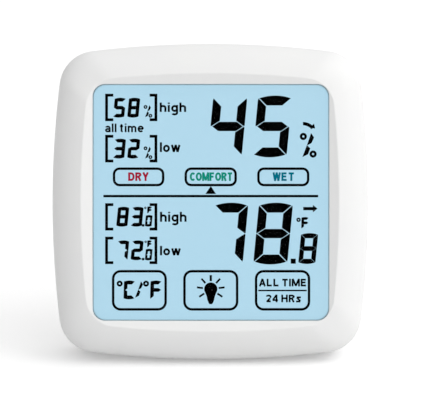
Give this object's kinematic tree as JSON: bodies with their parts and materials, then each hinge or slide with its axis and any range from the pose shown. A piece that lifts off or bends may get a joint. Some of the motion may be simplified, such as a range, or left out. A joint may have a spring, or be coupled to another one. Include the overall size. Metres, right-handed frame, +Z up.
{
  "type": "digital thermo-hygrometer",
  "caption": "White pillow-shaped table thermo-hygrometer with a backlit touch display, fold-out easel leg, battery door, rear clear button and magnets.",
  "frame": {"origin": "middle of the bounding box on the table surface that it stands on, leaning back on its open leg", "axes": "+X to the viewer's right, +Y from the display to the back, +Z up; the face leans back 15 degrees from upright"},
  "size_m": [0.108, 0.0514, 0.1056],
  "materials": {
    "case_white": "fine satin moulded white ABS",
    "window": "clear polished acrylic",
    "display": "backlit pale blue liquid-crystal display",
    "inner_white": "plain white moulded",
    "contact_rubber": "striped conductive rubber",
    "board_green": "green solder resist",
    "black_resin": "black moulded resin",
    "plated_steel": "bright nickel plate",
    "cell_jacket": "plain printed cell jacket",
    "magnet_nickel": "nickel plated magnet"
  },
  "bodies": {
    "case": {"front_case": "case_white", "rear_case": "case_white", "display_lens": "window", "touch_film": "window", "lcd_front_glass": "display", "lcd_rear_glass": "display", "light_guide": "window", "reflector_sheet": "inner_white", "lcd_frame": "inner_white", "backlight_led_left": "inner_white", "backlight_led_right": "inner_white", "zebra_strip_top": "contact_rubber", "zebra_strip_bottom": "contact_rubber", "circuit_board": "board_green", "controller_chip": "black_resin", "humidity_sensor": "black_resin", "clear_switch": "black_resin", "crystal": "plated_steel", "board_screw_1": "plated_steel", "board_screw_2": "plated_steel", "board_screw_3": "plated_steel", "board_screw_4": "plated_steel", "case_screw_1": "plated_steel", "case_screw_2": "plated_steel", "case_screw_3": "plated_steel", "case_screw_4": "plated_steel", "battery_1": "cell_jacket", "battery_2": "cell_jacket", "battery_spring_1": "plated_steel", "battery_spring_2": "plated_steel", "contact_bridge": "plated_steel", "contact_positive": "plated_steel", "contact_negative": "plated_steel", "magnet_left": "magnet_nickel", "magnet_right": "magnet_nickel"},
    "stand": {"stand": "case_white"},
    "battery_door": {"battery_door": "case_white"},
    "clear_button": {"clear_button": "case_white"}
  },
  "joints": [
    {"name": "stand_fold", "type": "hinge", "parent": "case", "child": "stand", "pos_m": [0, 0.01025, 0.04407], "axis": [-1, 0, 0], "range_deg": [0, 25.46]},
    {"name": "door_swing", "type": "hinge", "parent": "case", "child": "battery_door", "pos_m": [0, 0.01404, 0.0532], "axis": [-1, 0, 0], "range_deg": [0, 80]},
    {"name": "clear_press", "type": "slide", "parent": "case", "child": "clear_button", "axis": [0, -0.9659, 0.2588], "range_m": [0, 0.0005], "stiffness_N_per_m": 800}
  ]
}
